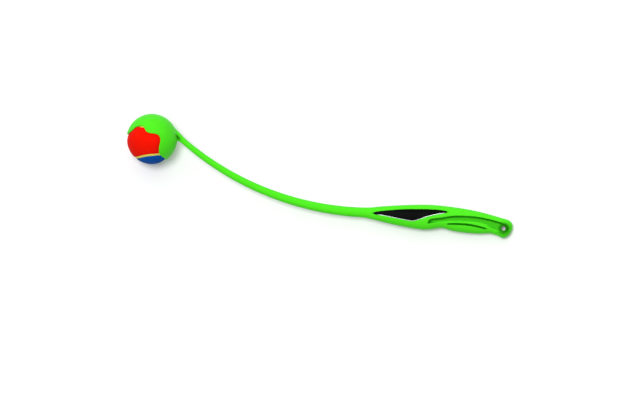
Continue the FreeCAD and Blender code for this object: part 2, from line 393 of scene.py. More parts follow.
class Nodes:
    """The nodes of one procedural material, or of the sky."""

    def __init__(self, owner: bpy.types.Material | bpy.types.World, shader: str) -> None:
        """Starts on the nodes of a new material or world, with its one shader."""
        owner.use_nodes = True
        self.owner = owner
        self.tree = owner.node_tree
        self.shader = self.tree.nodes[shader]

    @classmethod
    def material(cls, name: str) -> "Nodes":
        """The nodes of a new material with this name."""
        return cls(bpy.data.materials.new(name), "Principled BSDF")

    def add(
        self,
        kind: str,
        settings: dict[str, object],
        inputs: dict[str | int, object],
        output: int | str = 0,
    ) -> Signal:
        """Adds a node.

        Args:
            kind: The node's type.
            settings: The node's own settings, by name. These are set first.
            inputs: Numbers, colours or other signals for its sockets, by name or number.
            output: Which of its outputs is wanted.

        Returns:
            That output.
        """
        node = self.tree.nodes.new(kind)
        for name, value in settings.items():
            setattr(node, name, value)
        for name, value in inputs.items():
            self.feed(node.inputs[name], value)
        return Signal(self, node.outputs[output])

    def feed(self, socket: bpy.types.NodeSocket, value: object) -> None:
        """Links a signal to a socket, or sets the socket's own number or colour."""
        if isinstance(value, Signal):
            self.tree.links.new(value.socket, socket)
        else:
            socket.default_value = value

    def seen(self) -> Signal:
        """1 for the camera, and for what mirrors or glass show, and 0 for the light on things."""
        camera, gloss, glass = (
            self.add("ShaderNodeLightPath", {}, {}, ray)
            for ray in ("Is Camera Ray", "Is Glossy Ray", "Is Transmission Ray")
        )
        return (camera + gloss + glass).rise(0.0, 1.0)

    def place(self) -> Signal:
        """The point on the object, in metres in the frame."""
        return self.add("ShaderNodeTexCoord", {}, {}, "Object")

    def on_sheet(self) -> Signal:
        """The point on the piece's own flat map."""
        return self.add("ShaderNodeTexCoord", {}, {}, "UV")

    def on_corners(self, name: str) -> Signal:
        """The number that the piece's corners carry under this name, or 0."""
        return self.add("ShaderNodeAttribute", {"attribute_name": name}, {}, "Fac")

    def distance_along(self, axis: Vector, through: Vector) -> Signal:
        """How far the point lies along an axis from another point, in millimetres."""
        away = self.add(
            "ShaderNodeVectorMath", {"operation": "SUBTRACT"}, {0: self.place(), 1: through}
        )
        along = self.add(
            "ShaderNodeVectorMath", {"operation": "DOT_PRODUCT"}, {0: away, 1: axis}, "Value"
        )
        return along / MM

    def grain(
        self,
        size: float,
        detail: float = 2.0,
        roughness: float = 0.5,
        stretch: Sequence[float] = (1.0, 1.0, 1.0),
        turn: Sequence[float] = (0.0, 0.0, 0.0),
    ) -> Signal:
        """Soft noise from 0 to 1.

        Args:
            size: The size of its spots in millimetres.
            detail: How many finer layers it has.
            roughness: How strong those are.
            stretch: How many times as long the spots are in each direction.
            turn: How the directions of stretch are turned, in radians.

        Returns:
            The noise.
        """
        spot = [size * MM * times for times in stretch]
        laid = {"Vector": self.place(), "Rotation": turn, "Scale": spot}
        at = self.add("ShaderNodeMapping", {"vector_type": "TEXTURE"}, laid)
        layers = {"Vector": at, "Scale": 1.0, "Detail": detail, "Roughness": roughness}
        return self.add("ShaderNodeTexNoise", {}, layers, "Fac")

    def mix(self, share: Number, first: object, second: object) -> Signal:
        """A colour between two colours, which go in at the node's inputs 6 and 7 and out at 2."""
        inputs = {0: share, 6: first, 7: second}
        return self.add("ShaderNodeMix", {"data_type": "RGBA"}, inputs, 2)

    def bump(self, height: Signal, depth: float, under: Signal | None = None) -> Signal:
        """A bumpy normal.

        Args:
            height: The relief, from 0 to 1.
            depth: How deep the relief is, in millimetres.
            under: Another bumpy normal that it is laid on.

        Returns:
            The normal.
        """
        inputs = {"Height": height, "Distance": depth * MM, "Strength": 1.0}
        if under is not None:
            inputs["Normal"] = under
        return self.add("ShaderNodeBump", {}, inputs)

    def finish(self, **sockets: object) -> bpy.types.Material:
        """Feeds the shader's sockets, named with _ for a space, and returns the material."""
        for name, value in sockets.items():
            self.feed(self.shader.inputs[name.replace("_", " ")], value)
        return self.owner


def colour(red: float, green: float, blue: float) -> Colour:
    """A colour from its display numbers between 0 and 255."""
    linear = [
        c / 12.92 if c <= 0.04045 else ((c + 0.055) / 1.055) ** 2.4
        for c in (red / 255, green / 255, blue / 255)
    ]
    return (*linear, 1.0)


def grey(level: float) -> Colour:
    """A grey of this level of light, where 1 is white."""
    return (level, level, level, 1.0)


@dataclass(frozen=True)
class MouldedPlastic:
    """Satin polypropylene, as it comes out of a spark-textured mould, with shade painted into its
    sunk places.

    Attributes:
        axis: The direction square to the plane where the two mould halves met.
        through: A point on that plane.
        turn: How the stick's length is turned in the frame, in radians.
        bright: Its colour where it is palest.
        deep: Its colour where it is deepest.
        painted_shade: The deep green that is painted into sunk places and hollows as shade.
        sheen: The tint of its gloss.
        parting_width: How wide the mould's parting line is, in millimetres.
        parting_height: How high it stands.
        pit_depth: How deep the mould's fine texture is.
        stipple_depth: How deep the coarse texture of the sunk places is.
        wave_depth: How deep the slow waves of the skin are.
    """

    axis: Vector
    through: Vector
    turn: float
    bright: Colour = colour(90, 244, 40)
    deep: Colour = colour(77, 236, 32)
    painted_shade: Colour = colour(0, 104, 0)
    sheen: Colour = colour(150, 255, 120)
    parting_width: float = 0.16
    parting_height: float = 0.05
    pit_depth: float = 0.012
    stipple_depth: float = 0.16
    wave_depth: float = 0.12

    def build(self) -> bpy.types.Material:
        """Makes the material."""
        n = Nodes.material("moulded_plastic")
        turn = (0.0, 0.0, self.turn)
        cloud = n.grain(size=38.0, detail=3.0)
        flow = n.grain(size=2.2, stretch=(14.0, 1.0, 1.0), turn=turn)
        pits = n.grain(size=0.34, roughness=0.6)
        waves = n.grain(size=9.0, detail=1.0)
        rub = n.grain(size=1.6, detail=3.0, roughness=0.7, stretch=(9.0, 1.0, 1.0), turn=turn)
        stipple = n.grain(size=0.9, detail=0.0).rise(0.42, 0.6)
        painted_shade = n.on_corners("painted_shade")
        tint = n.mix(cloud * 0.75 + flow * 0.25, self.bright, self.deep)
        # Painted shade: the marked sunk places and hollows are darkened towards a deep green,
        # stippled a little.
        tint = n.mix(painted_shade * (0.86 + stipple * 0.14), tint, self.painted_shade)
        off_line = abs(n.distance_along(self.axis, self.through))
        line = 1.0 - off_line.rise(self.parting_width * 0.4, self.parting_width)
        skin = n.bump(pits * 0.7 + rub * 0.3, self.pit_depth)
        dots = n.bump(stipple * painted_shade, self.stipple_depth, under=skin)
        ripple = n.bump(waves, self.wave_depth, under=dots)
        return n.finish(
            Base_Color=tint,
            Roughness=0.4 + pits * 0.08 + rub.rise(0.45, 0.75) * 0.07 + painted_shade * 0.12,
            Normal=n.bump(line, self.parting_height, under=ripple),
            Specular_IOR_Level=0.16,
            Specular_Tint=self.sheen,
        )


@dataclass(frozen=True)
class PrintedFilm:
    """A black label film with a fine emboss, and a thin silver metallic line by its lower edge only
    that is painted as the highlight on that edge.

    Attributes:
        black: Its colour.
        worn: Its colour where it is rubbed.
        silver_highlight: The line's pale colour, painted as a highlight.
        line_from: Where the line starts above the film's lower edge, in millimetres.
        line_to: Where the line ends.
        line_blur: How soft the line's edges are.
        emboss: How deep the film's texture is.
    """

    black: Colour = colour(3, 5, 4)
    worn: Colour = colour(7, 10, 8)
    silver_highlight: Colour = colour(196, 208, 200)
    line_from: float = 0.2
    line_to: float = 0.75
    line_blur: float = 0.1
    emboss: float = 0.015

    def build(self) -> bpy.types.Material:
        """Makes the material."""
        n = Nodes.material("printed_film")
        sheet = n.add("ShaderNodeSeparateXYZ", {}, {"Vector": n.on_sheet()}, "Y")
        above, beyond = (
            sheet.rise(edge - self.line_blur, edge + self.line_blur)
            for edge in (self.line_from, self.line_to)
        )
        # Painted highlight: a pale metallic line by the lower edge only, where the edge catches the
        # light
        line = above * (1.0 - beyond) * n.on_corners("silver_highlight")
        grain = n.grain(size=0.45, roughness=0.6)
        cloud = n.grain(size=12.0)
        black = n.mix(cloud.rise(0.35, 0.75), self.black, self.worn)
        return n.finish(
            Base_Color=n.mix(line, black, self.silver_highlight),
            Metallic=line * 0.8,
            Roughness=0.34 + grain * 0.14,
            Specular_IOR_Level=0.02,
            Normal=n.bump(grain, self.emboss),
        )


@dataclass(frozen=True)
class NeedledFelt:
    """Woolly ball felt: matted fibres over a soft, slightly uneven ground.

    Attributes:
        name: The material's name.
        lit: The colour of the fibres on top.
        shaded: The colour between them.
        specks: The colour of paler patches.
        nap_depth: How deep the fibres lie, in millimetres.
    """

    name: str
    lit: Colour
    shaded: Colour
    specks: Colour
    nap_depth: float = 0.3

    def build(self) -> bpy.types.Material:
        """Makes the material."""
        n = Nodes.material(self.name)
        cloud = n.grain(size=7.0, detail=3.0, roughness=0.6)
        mat = n.grain(size=0.55, detail=4.0, roughness=0.75)
        strands = [
            n.grain(size=0.16, roughness=0.6, stretch=stretch, turn=turn)
            for stretch, turn in (
                ((9.0, 1.0, 1.0), (0.3, 0.5, 0.2)),
                ((1.0, 9.0, 1.0), (0.7, 0.1, 0.9)),
                ((1.0, 1.0, 9.0), (0.4, 0.8, 0.3)),
            )
        ]
        nap = strands[0] * 0.34 + strands[1] * 0.33 + strands[2] * 0.33
        ground = n.mix((mat * 0.6 + nap * 0.4).rise(0.38, 0.62), self.shaded, self.lit)
        return n.finish(
            Base_Color=n.mix(cloud.rise(0.55, 0.85) * 0.35, ground, self.specks),
            Roughness=0.88 + mat * 0.1,
            Normal=n.bump(nap * 0.6 + mat * 0.4, self.nap_depth),
            Sheen_Weight=0.05,
            Sheen_Roughness=0.4,
            Specular_IOR_Level=0.05,
        )


@dataclass(frozen=True)
class PlainRubber:
    """Moulded rubber with a fine bloom on it.

    Attributes:
        name: The material's name.
        base: Its colour.
        bloom: Its colour where it has bloomed.
        roughness: How dull it is where its texture is lowest.
        pit_depth: How deep its texture is, in millimetres.
    """

    name: str
    base: Colour
    bloom: Colour
    roughness: float = 0.62
    pit_depth: float = 0.05

    def build(self) -> bpy.types.Material:
        """Makes the material."""
        n = Nodes.material(self.name)
        cloud = n.grain(size=3.0, detail=3.0, roughness=0.65)
        pits = n.grain(size=0.25)
        return n.finish(
            Base_Color=n.mix(cloud.rise(0.3, 0.8), self.base, self.bloom),
            Roughness=self.roughness + pits * 0.15,
            Normal=n.bump(pits * 0.6 + cloud * 0.4, self.pit_depth),
            Specular_IOR_Level=0.35,
        )


# The drawing's place in the room


@dataclass(frozen=True)
class Lie:
    """How the stick lies in the frame, read from its two mounts."""

    opening_heading: float = -108.8

    def _mount(self, name: str) -> dict:
        """The record's entry for a mount."""
        return next(m for m in frame["record"]["mounts"] if m["name"] == name)

    @property
    def face(self) -> Vector:
        """The direction square to the stick's front face."""
        return Vector(self._mount("hang_hole")["axis"]).normalized()

    @property
    def ball(self) -> Vector:
        """The ball's centre, in metres."""
        return Vector(self._mount("ball_cup")["pos_m"])

    @property
    def axes(self) -> Matrix:
        """The drawing's three directions as the columns of a matrix."""
        opening = Vector(self._mount("ball_cup")["axis"]).normalized()
        turn = math.radians(self.opening_heading)
        along = opening * math.cos(turn) - self.face.cross(opening) * math.sin(turn)
        return Matrix((along, self.face.cross(along), self.face)).transposed()

    @property
    def matrix(self) -> Matrix:
        """Takes a point of the drawing in millimetres to the frame in metres."""
        return Matrix.Translation(self.ball) @ self.axes.to_4x4() @ Matrix.Scale(MM, 4)


LIE = Lie()


def make_piece(
    name: str,
    bm: bmesh.types.BMesh,
    material: bpy.types.Material,
    body: Body,
    stands_for: Sequence[str] = (),
    sharp_angle: float = 50.0,
) -> bpy.types.Object:
    """Turns a drawn shape into a piece of the object.

    Args:
        name: The piece's name.
        bm: The shape, in the drawing's frame. It is used up.
        material: The piece's finish.
        body: What the piece rides on.
        stands_for: The frame's nodes that the piece is shown for.
        sharp_angle: Edges that turn by more than this many degrees are shaded sharp.

    Returns:
        The piece.
    """
    bm.transform(LIE.matrix)
    bmesh.ops.recalc_face_normals(bm, faces=bm.faces[:])
    for face in bm.faces:
        face.smooth = True
    for edge in bm.edges:
        edge.smooth = edge.calc_face_angle(0.0) < math.radians(sharp_angle)
    mesh = bpy.data.meshes.new(name)
    bm.to_mesh(mesh)
    bm.free()
    mesh.materials.append(material)
    piece = bpy.data.objects.new(name, mesh)
    bpy.context.scene.collection.objects.link(piece)
    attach(piece, body.value)
    if stands_for:
        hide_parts(*stands_for)
    LOG.info("%s: %d faces on %s", name, len(mesh.polygons), body.value)
    return piece


# The stick


@dataclass(frozen=True)
class NeckShade:
    """Painted shade over the hollow where the neck leaves the cup, and over the cup's flank beside
    it.

    Attributes:
        outline: Points round it, in the drawing.
        steps: How many points it is measured with.
        edge: The painted shade's soft edge.
        tone: How dark the painted shade gets, where 1 is the painted shade of a sunk place.
    """

    outline: Points = (
        (28.7, 14.8), (31.4, 15.1), (34.2, 14.2), (36.8, 11.8), (39.0, 9.5), (37.4, 8.2),
        (34.4, 7.4), (32.6, 8.6), (30.8, 11.6),
    )
    steps: int = 90
    edge: Fade = Fade(-0.9, 1.1)
    tone: float = 0.5

    def shade(self, points: np.ndarray) -> np.ndarray:
        """How much painted shade it gives to each of several points."""
        around = SmoothLine(self.outline, closed=True).sample(self.steps)
        line = SmoothLine(np.vstack([around, around[:1]]))
        return self.edge.at(Outline([line]).depths(points[:, :2])[0]) * self.tone


@dataclass
class Cup:
    """The ball cup: a thin bowl with a wide claw behind, a narrow one in front and side cut-outs.

    Sizes are in millimetres and angles in degrees.
    """

    inner_radius: float = 32.8
    wall: float = 2.0
    claw_reach: float = 22.0
    # The widths of its claws, and how deep the rim is cut between them, over a low bump
    back_half_angle: float = 67.5
    front_half_angle: float = 38.0
    side_cut: float = 16.0
    side_bump: float = 8.0
    # The painted shade where the neck leaves the cup, on the cup and on the shaft
    hollow: NeckShade = NeckShade()
    # How finely it is drawn
    columns: int = 420
    skin_rows: int = 64
    lip_rows: int = 10
    lip_sharp_angle: float = 80.0

    @property
    def outer_radius(self) -> float:
        """The radius of the bowl's outside."""
        return self.inner_radius + self.wall

    def _direction(self, azimuth: float, latitude: float) -> Vector:
        """A direction from the cup's centre.

        Args:
            azimuth: The angle round the opening's axis, from the shaft's side.
            latitude: The angle towards the opening, 90 at its middle.

        Returns:
            A unit vector.
        """
        around, up = math.radians(azimuth), math.radians(latitude)
        side = heading(LIE.opening_heading + 90) * math.cos(around)
        flat = side + Vector((0, 0, 1)) * math.sin(around)
        return flat * math.cos(up) + heading(LIE.opening_heading) * math.sin(up)

    def beyond_rim(self, directions: np.ndarray) -> np.ndarray:
        """How far directions from the cup's centre lie outside its rim, in degrees."""
        out, side = (np.array(heading(LIE.opening_heading + turn)) for turn in (0, 90))
        both = []
        for group in (directions, self._rim()):
            around = np.degrees(np.arctan2(group[:, 2], group @ side))
            both.append((around, np.degrees(np.arcsin(group @ out))))
        (around, latitude), rim = both
        return latitude - np.interp(around, *rim, period=360.0)

    def _rim(self) -> np.ndarray:
        """Directions from the cup's centre to the rim, all the way round."""
        back, front = self.back_half_angle, 180 - self.front_half_angle
        reach, cut, bump = self.claw_reach, self.side_cut, self.side_bump
        # The azimuth and the latitude of places along one side, from behind to in front
        half = [
            (0, reach), (back * 0.45, reach), (back * 0.8, reach - 3), (back * 0.95, reach / 2),
            (back + 2, 1), (back + 6, -cut * 0.5), (back + 14, -cut * 0.95),
            (back + 24, -cut * 0.9), (back + 36, -bump * 1.1), (front - 30, -bump * 0.9),
            (front - 15, -cut * 0.82), (front, -cut * 0.42), (front + 5, -cut * 0.1),
            (front + 10, reach * 0.36), (front + 18, reach * 0.7), (180, reach),
        ]
        mirrored = [(-azimuth, latitude) for azimuth, latitude in half[-2:0:-1]]
        line = SmoothLine([self._direction(*point) for point in half + mirrored], closed=True)
        return unit(line.sample(self.columns))

    def build(self, material: bpy.types.Material) -> bpy.types.Object:
        """Makes the cup as one closed skin with a rounded lip.

        Args:
            material: The moulding's finish.

        Returns:
            The cup.
        """
        rim = self._rim()
        bottom = -np.array(heading(LIE.opening_heading))
        middle = self.inner_radius + self.wall / 2
        ahead = unit(np.roll(rim, -1, axis=0) - np.roll(rim, 1, axis=0))
        outwards = np.cross(ahead, rim)
        outwards *= np.sign((outwards @ -bottom).sum())
        inset = unit(rim * middle - outwards * self.wall / 2)
        shares = np.linspace(0.0, 1.0, self.skin_rows)
        skin = [self._between(bottom, inset, share) for share in shares]
        lip = [
            inset * middle + (inset * math.cos(turn) + outwards * math.sin(turn)) * self.wall / 2
            for turn in spread(0.0, math.pi, self.lip_rows + 1)[:-1]
        ]
        outer = [row * self.outer_radius for row in skin]
        inner = [row * self.inner_radius for row in reversed(skin)]
        bm = round_sheet(outer + lip + inner)
        points = places(bm)
        outside = np.linalg.norm(points, axis=1) > middle
        # Painted shade on the cup's outside, beside the neck
        mark(bm, "painted_shade", self.hollow.shade(points) * outside)
        return make_piece(
            "ball_cup", bm, material, Body.STICK,
            stands_for=("cup_bowl", "front_claw", "back_claw"), sharp_angle=self.lip_sharp_angle,
        )

    @staticmethod
    def _between(start: np.ndarray, ends: np.ndarray, share: float) -> np.ndarray:
        """Directions this share of the way round from one direction to each of several."""
        angle = np.arccos(np.clip(ends @ start, -1.0, 1.0))[:, None]
        mixed = np.sin((1 - share) * angle) * start + np.sin(share * angle) * ends
        return mixed / np.sin(angle)


@dataclass
class Shaft:
    """The long curved shaft, which grows out of the cup in a smooth flare.

    Places along it are measured from the cup's outside, in millimetres.
    """

    cup: Cup
    # Its middle is an arc, whose centre lies further from the ball than its radius by the offset
    length: float = 279.0
    bend_radius: float = 400.0
    bend_centre_heading: float = 58.7
    offset: float = 28.0
    # Its section, squarer than an ellipse, and how it flares where it leaves the cup
    neck_width: float = 7.6
    neck_thickness: float = 10.0
    end_width: float = 13.6
    end_thickness: float = 14.0
    squareness: float = 2.5
    flare_width: float = 1.2
    flare_thickness: float = 2.0
    flare_length: float = 18.0
    # The fillet round its foot, which starts just under the cup's skin
    fillet: float = 5.0
    fillet_sink: float = 0.02
    # The pocket in each face of the neck, by the distance along the shaft and from its middle
    web_thickness: float = 4.0
    pocket_edge: Fade = Fade(-0.15, 0.55)
    pocket_top: Points = ((0.4, -0.6), (2.0, -0.4), (4.6, -0.5), (7.4, -1.1))
    pocket_bottom: Points = (
        (7.4, -1.1), (5.4, -2.3), (3.5, -3.4), (1.9, -3.1), (0.9, -1.9), (0.4, -0.6),
    )
    # How finely it is drawn, and between which places along it meets the cup's outside
    columns: int = 112
    hub_shares: Sequence[float] = (0.0, 0.35, 0.7, 0.92)
    fillet_rows: int = 14
    neck_rows: int = 48
    shaft_rows: int = 130
    meeting_range: tuple[float, float] = (-20.0, 25.0)
    meeting_halvings: int = 30

    def heading_at(self, along: float) -> float:
        """The angle at which the shaft runs, this far along it from the cup's outside."""
        reach, skin = self.bend_radius + self.offset, self.cup.outer_radius
        drop = (reach**2 + skin**2 - self.bend_radius**2) / (2 * reach)
        turn = math.atan2(math.sqrt(skin**2 - drop**2), reach - drop)
        return self.bend_centre_heading - 90 + math.degrees(turn + along / self.bend_radius)

    def point_at(self, along: float) -> Vector:
        """The middle of the shaft, this far along it from the cup's outside."""
        centre = heading(self.bend_centre_heading) * (self.bend_radius + self.offset)
        return centre - heading(self.heading_at(along) + 90) * self.bend_radius

    def half_sizes(self, along: float) -> tuple[float, float]:
        """Half the shaft's width and thickness at this place."""
        share = along / self.length
        flare = min(1.0, max(0.0, 1 - along / self.flare_length)) ** 2
        width = self.neck_width + (self.end_width - self.neck_width) * share
        thickness = self.neck_thickness + (self.end_thickness - self.neck_thickness) * share
        return width / 2 + self.flare_width * flare, thickness / 2 + self.flare_thickness * flare

    def ring(self, along: float, angles: np.ndarray) -> np.ndarray:
        """The shaft's rounded section at this place, as rows of points."""
        across = np.array(heading(self.heading_at(along) + 90))
        half_width, half_thickness = self.half_sizes(along)
        flat = oval(angles, half_width, half_thickness, self.squareness)
        lift = np.outer(flat[:, 1], (0.0, 0.0, 1.0))
        return np.array(self.point_at(along)) + np.outer(flat[:, 0], across) + lift

    def _skin_point(self, angles: np.ndarray, along: np.ndarray) -> np.ndarray:
        """The point of the shaft's surface for each angle and its own place along."""
        rings = [self.ring(a, angles[i : i + 1])[0] for i, a in enumerate(along)]
        return np.array(rings)

    def _meeting(self, angles: np.ndarray) -> np.ndarray:
        """How far along the shaft's surface meets the cup's outside, for each angle."""
        low, high = (np.full(len(angles), place) for place in self.meeting_range)
        for _ in range(self.meeting_halvings):
            middle = (low + high) / 2
            points = self._skin_point(angles, middle)
            out = np.linalg.norm(points, axis=1) > self.cup.outer_radius
            low, high = np.where(out, low, middle), np.where(out, middle, high)
        return (low + high) / 2

    def _rows(self, angles: np.ndarray) -> np.ndarray:
        """Every row of the shaft's skin, from its end inside the cup's wall to its other end."""
        skin = self.cup.outer_radius
        meeting = self._meeting(angles)
        corner = self._skin_point(angles, meeting)
        start = meeting + self.fillet
        outer = self._skin_point(angles, start)
        normal = unit(corner)
        away = unit(corner - np.array([self.point_at(along) for along in meeting]))
        aside = unit(away - (away * normal).sum(1)[:, None] * normal)
        foot = unit(corner + aside * self.fillet)
        hub = unit(foot.mean(0))
        rows = []
        for share in self.hub_shares:
            rows.append(unit(hub * (1 - share) + foot * share) * (skin - self.cup.wall / 2))
        for share in np.linspace(0.0, 1.0, self.fillet_rows):
            bend = (1 - share) ** 2 * foot * (skin - self.fillet_sink)
            rows.append(bend + 2 * share * (1 - share) * corner + share**2 * outer)
        for share in spread(0.0, 1.0, self.neck_rows):
            rows.append(self._skin_point(angles, start + (self.flare_length - start) * share))
        for along in spread(self.flare_length, self.length, self.shaft_rows):
            rows.append(self.ring(along, angles))
        return np.stack(rows)

    def _press_pockets(self, bm: bmesh.types.BMesh) -> None:
        """Sinks the pocket into both faces of the neck, down to the web in its middle."""
        lines = []
        for side in (self.pocket_top, self.pocket_bottom):
            points = []
            for along, aside in side:
                across = heading(self.heading_at(along) + 90)
                points.append((self.point_at(along) + across * aside).xy)
            lines.append(SmoothLine(points))
        inside = Outline(lines).depths(places(bm)[:, :2]).min(0)
        for vert, share in zip(bm.verts, self.pocket_edge.at(inside)):
            over = max(0.0, abs(vert.co.z) - self.web_thickness / 2)
            vert.co.z -= math.copysign(over * share, vert.co.z)

    def build(self, material: bpy.types.Material) -> bpy.types.Object:
        """Makes the shaft.

        Args:
            material: The moulding's finish.

        Returns:
            The shaft.
        """
        angles = even_angles(self.columns, self.neck_width, self.neck_thickness, self.squareness)
        bm = round_sheet(self._rows(angles))
        self._press_pockets(bm)
        # Painted shade at the neck's root, where it leaves the cup
        mark(bm, "painted_shade", self.cup.hollow.shade(places(bm)))
        bmesh.ops.holes_fill(bm, edges=bm.edges[:])
        return make_piece("shaft_moulding", bm, material, Body.STICK, ("shaft",))


def oval(
    angles: np.ndarray, half_width: float, half_thickness: float, squareness: float
) -> np.ndarray:
    """Points of a rounded section that is squarer than an ellipse, as rows of width and height."""
    power = 2 / squareness
    wide = np.sign(np.cos(angles)) * np.abs(np.cos(angles)) ** power
    thick = np.sign(np.sin(angles)) * np.abs(np.sin(angles)) ** power
    return np.stack([wide * half_width, thick * half_thickness], axis=1)


def even_angles(
    count: int, width: float, thickness: float, squareness: float, steps: int = 4000
) -> np.ndarray:
    """Angles at which a rounded section's points lie at even steps round it.

    Args:
        count: How many points, a multiple of 4, so that both its axes have one at each end.
        width: The section's width.
        thickness: The section's thickness.
        squareness: How square it is. 2 is an ellipse.
        steps: How finely a quarter of it is measured.

    Returns:
        The angles, from 0 up.
    """
    fine = np.linspace(0.0, math.pi / 2, steps + 1)
    points = oval(fine, width / 2, thickness / 2, squareness)
    run = np.concatenate([[0.0], np.cumsum(np.linalg.norm(np.diff(points, axis=0), axis=1))])
    quarter = np.interp(np.linspace(0.0, run[-1], count // 4 + 1), run, fine)
    quarter[0], quarter[-1] = 0.0, math.pi / 2
    half = np.concatenate([quarter[:-1], math.pi - quarter[:0:-1]])
    return np.concatenate([half, half + math.pi])


@dataclass
class Grip:
    """The shaped grip: a swelling handle with a label seat, a finger recess, a slot and a hole.

    Its outlines are points of share of its length and height in millimetres. A tone is how much
    painted shade a sunk place gets, as a share of the finish's painted shade colour.
    """

    shaft: Shaft
    length: float = 209.6
    # The plain body, which swells from the shaft to its belly and ends in a round nose
    belly_thickness: float = 23.0
    tail_thickness: float = 18.0
    early_swell: float = 0.35
    nose_length: float = 14.0
    nose_squareness: float = 2.0
    nose_lift: float = 2.6
    # The label's seat
    label_depth: float = 0.9
    label_edge: Fade = Fade(-0.07, 0.38)
    # The finger recess: a steep step above, and below a slope, which is short at the blunt end
    recess_depth: float = 3.0
    recess_out: float = 0.1
    step_run: float = 0.9
    blunt_run: float = 1.0
    slope_run: float = 3.0
    blunt_end: Fade = Fade(5.0, 19.0)
    # The slot
    slot_depth: float = 3.6
    slot_width: float = 2.7
    slot_bluntness: int = 6
    slot_edge: Fade = Fade(-0.1, 0.5)
    # The hang hole
    hole_at: tuple[float, float] = (0.94, -12.5)
    hole_radius: float = 3.2
    hole_round: float = 0.6
    # The painted shade in the sunk places, and how it fades from the recess's step, from its blunt
    # end and from the hole
    recess_tone: float = 0.46
    seat_tone: float = 0.5
    hole_tone: float = 0.9
    wall_shade: Fade = Fade(3.84, 1.44)
    end_shade: Fade = Fade(8.4, 2.4)
    hole_shade: Fade = Fade(8.4, 1.4)
    # How finely it is drawn, with its columns at even steps round a section of this width
    columns: int = 168
    section_width: float = 34.0
    rows: int = 400
    nose_rows: int = 22
    hole_rows: int = 4
    # The outlines
    top: Points = (
        (0.0, 6.8), (0.06, 7.4), (0.14, 9.7), (0.26, 12.4), (0.4, 14.6), (0.5, 14.8), (0.62, 13.1),
        (0.74, 10.1), (0.85, 5.5), (0.93, 1.3), (1.0, -3.6),
    )
    bottom: Points = (
        (0.0, -6.8), (0.06, -8.2), (0.14, -11.4), (0.26, -15.9), (0.4, -19.5), (0.46, -18.7),
        (0.535, -16.1), (0.6, -19.0), (0.68, -20.8), (0.78, -21.4), (0.855, -20.4), (0.91, -23.3),
        (0.945, -26.1), (1.0, -22.5),
    )
    label_top: Points = (
        (0.066, -0.3), (0.085, 1.2), (0.12, 2.9), (0.18, 4.8), (0.26, 6.9), (0.34, 8.1),
        (0.43, 8.9), (0.5, 8.8), (0.555, 7.7), (0.577, 6.3),
    )
    label_bottom: Points = (
        (0.577, 6.3), (0.545, 4.2), (0.5, 2.3), (0.46, 0.1), (0.42, -2.8), (0.38, -6.2),
        (0.345, -8.4), (0.31, -8.1), (0.25, -6.4), (0.18, -4.1), (0.12, -2.5), (0.085, -1.7),
        (0.066, -0.3),
    )
    recess_top: Points = (
        (0.441, -11.2), (0.445, -6.5), (0.5, -2.6), (0.59, 1.1), (0.69, 2.35), (0.78, 1.5),
        (0.87, -1.7), (0.94, -6.0), (0.974, -11.5), (0.955, -18.2),
    )
    recess_bottom: Points = (
        (0.955, -18.2), (0.915, -17.8), (0.865, -14.6), (0.825, -9.9), (0.76, -6.9), (0.66, -6.2),
        (0.56, -7.5), (0.441, -11.2),
    )
    slot_line: Points = (
        (0.563, -10.4), (0.57, -10.25), (0.59, -9.9), (0.637, -9.5), (0.698, -9.75),
        (0.759, -11.25), (0.806, -13.2), (0.826, -14.1), (0.833, -14.45),
    )

    @property
    def matrix(self) -> Matrix:
        """Takes the grip's own length, width and height to the drawing."""
        end = self.shaft.length
        forward = heading(self.shaft.heading_at(end))
        across = heading(self.shaft.heading_at(end) + 90)
        axes = Matrix((forward, across, Vector((0, 0, 1)))).transposed().to_4x4()
        return Matrix.Translation(self.shaft.point_at(end)) @ axes

    def line(self, points: Points) -> SmoothLine:
        """A smooth line in millimetres through points given as share of the length and height."""
        return SmoothLine([(share * self.length, height) for share, height in points])

    def half_thickness(self, shares: np.ndarray) -> np.ndarray:
        """Half the grip's thickness at shares of its length."""
        start = self.shaft.end_thickness / 2
        belly, tail = self.belly_thickness / 2, self.tail_thickness / 2
        rising = start + self.early_swell * (belly - start)
        stations = ((0.0, start), (0.12, rising), (0.36, belly), (0.66, belly), (1.0, tail))
        return heights_at(stations, shares)

    def face_height(self, flat: np.ndarray) -> np.ndarray:
        """The height of the plain face over points of the grip's middle plane."""
        shares = np.clip(flat[:, 0] / self.length, 0.0, 1 - self.nose_length / self.length)
        top, bottom = heights_at(self.top, shares), heights_at(self.bottom, shares)
        aside = np.abs(flat[:, 1] - (top + bottom) / 2) / ((top - bottom) / 2)
        power = self.shaft.squareness
        level = np.clip(1.0 - np.clip(aside, 0.0, 1.0) ** power, 0.0, 1.0) ** (1 / power)
        return self.half_thickness(shares) * level

    def _slot(self) -> Outline:
        """The outline of the long narrow groove."""
        ends = self.slot_line[0][0], self.slot_line[-1][0]
        sides = []
        for side in (1, -1):
            points = []
            for share, height in self.slot_line:
                from_middle = abs(2 * share - ends[0] - ends[1]) / (ends[1] - ends[0])
                swell = math.sqrt(max(0.0, 1 - from_middle**self.slot_bluntness))
                points.append((share, height + side * swell * self.slot_width / 2))
            sides.append(points)
        return Outline([self.line(sides[0]), self.line(sides[1][::-1])])

    def label_outline(self) -> Outline:
        """The outline of the label's seat."""
        return Outline([self.line(self.label_top), self.line(self.label_bottom)])

    def _plain_rows(self, angles: np.ndarray) -> np.ndarray:
        """The grip's rounded sections before anything is sunk into them, as rows of points."""
        nose_start = 1 - self.nose_length / self.length
        rows = []
        for share in np.linspace(0.0, nose_start, self.rows):
            rows.append(self._section(share, 1.0, share * self.length, angles))
        for turn in spread(0.0, math.pi / 2, self.nose_rows):
            reach, shrink = oval(np.array([turn]), 1.0, 1.0, self.nose_squareness)[0][::-1]
            along = (nose_start + reach * (1 - nose_start)) * self.length
            section = self._section(nose_start, shrink, along, angles)
            section[:, 1] += self.nose_lift * reach**3
            rows.append(section)
        return np.stack(rows)

